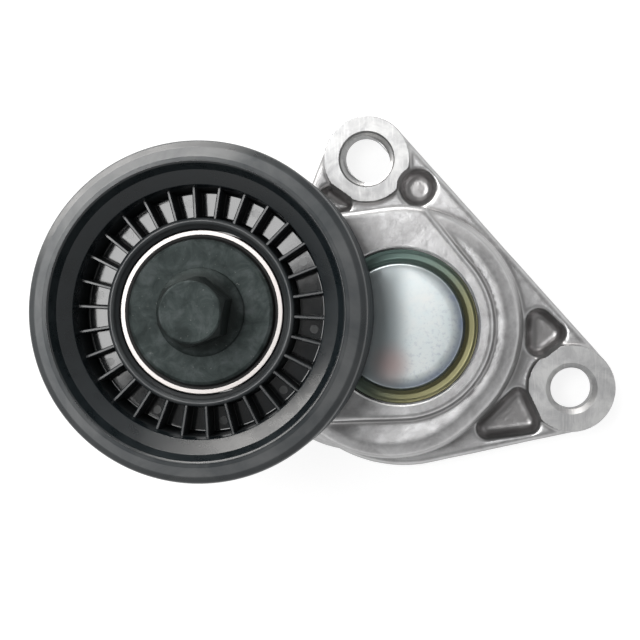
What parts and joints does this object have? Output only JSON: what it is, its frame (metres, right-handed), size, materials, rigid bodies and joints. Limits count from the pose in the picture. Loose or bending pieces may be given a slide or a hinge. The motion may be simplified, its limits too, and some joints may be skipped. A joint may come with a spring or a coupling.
{
  "type": "belt tensioner idler",
  "caption": "Belt tensioner: a smooth idler pulley on a sprung cast arm that turns on a cast base with bolting ears.",
  "frame": {"origin": "where the arm's pivot axis meets the base's flat mounting face", "axes": "+Z out of the mounting face along the pivot axis, towards the pulley; +X from the pivot towards the right-hand ear's side, away from the pulley; +Y towards the other ear"},
  "size_m": [0.1437, 0.0927, 0.061],
  "materials": {
    "cast_aluminium": "as cast, satin, slightly mottled; ear faces machined",
    "black_plastic": "satin moulded glass-filled nylon",
    "bearing_steel": "ground and polished",
    "machined_steel": "turned",
    "black_phosphate": "black phosphate, slightly mottled",
    "zinc_plate": "zinc plate with a faint passivation tint",
    "spring_steel": "oil-tempered wire",
    "seal_rubber": "matt nitrile rubber",
    "nylon": "plain nylon"
  },
  "bodies": {
    "base": {"base_bracket": "cast_aluminium", "pivot_pin": "machined_steel", "retaining_plate": "machined_steel", "lower_thrust_washer": "nylon", "spring_seat": "nylon", "friction_band": "nylon", "torsion_spring": "spring_steel"},
    "arm": {"tensioner_arm": "cast_aluminium", "pivot_bushing": "nylon", "pivot_cap": "zinc_plate", "bearing_inner_ring": "bearing_steel", "bearing_spacer": "machined_steel", "front_dust_shield": "black_phosphate", "rear_dust_shield": "black_phosphate", "pulley_bolt": "black_phosphate"},
    "pulley": {"pulley": "black_plastic", "bearing_outer_ring": "bearing_steel", "front_bearing_seal": "seal_rubber", "rear_bearing_seal": "seal_rubber"},
    "cage": {"ball_cage": "nylon", "bearing_ball_1": "bearing_steel", "bearing_ball_2": "bearing_steel", "bearing_ball_3": "bearing_steel", "bearing_ball_4": "bearing_steel", "bearing_ball_5": "bearing_steel", "bearing_ball_6": "bearing_steel", "bearing_ball_7": "bearing_steel", "bearing_ball_8": "bearing_steel"}
  },
  "joints": [
    {"name": "arm_pivot", "type": "hinge", "parent": "base", "child": "arm", "pos_m": [0, 0, 0.016], "axis": [0, 0, 1], "range_deg": [0, 30], "stiffness_Nm_per_rad": 15, "springref_deg": -17.19, "deforming": ["torsion_spring"]},
    {"name": "pulley_spin", "type": "hinge", "parent": "arm", "child": "pulley", "pos_m": [-0.0475, 0.0036, 0.0391], "axis": [0, 0, 1], "continuous": true},
    {"name": "cage_spin", "type": "hinge", "parent": "arm", "child": "cage", "pos_m": [-0.0475, 0.0036, 0.0391], "axis": [0, 0, 1], "continuous": true}
  ],
  "couplings": [
    {"joint": "cage_spin", "follows": "pulley_spin", "ratio": 0.6184}
  ]
}
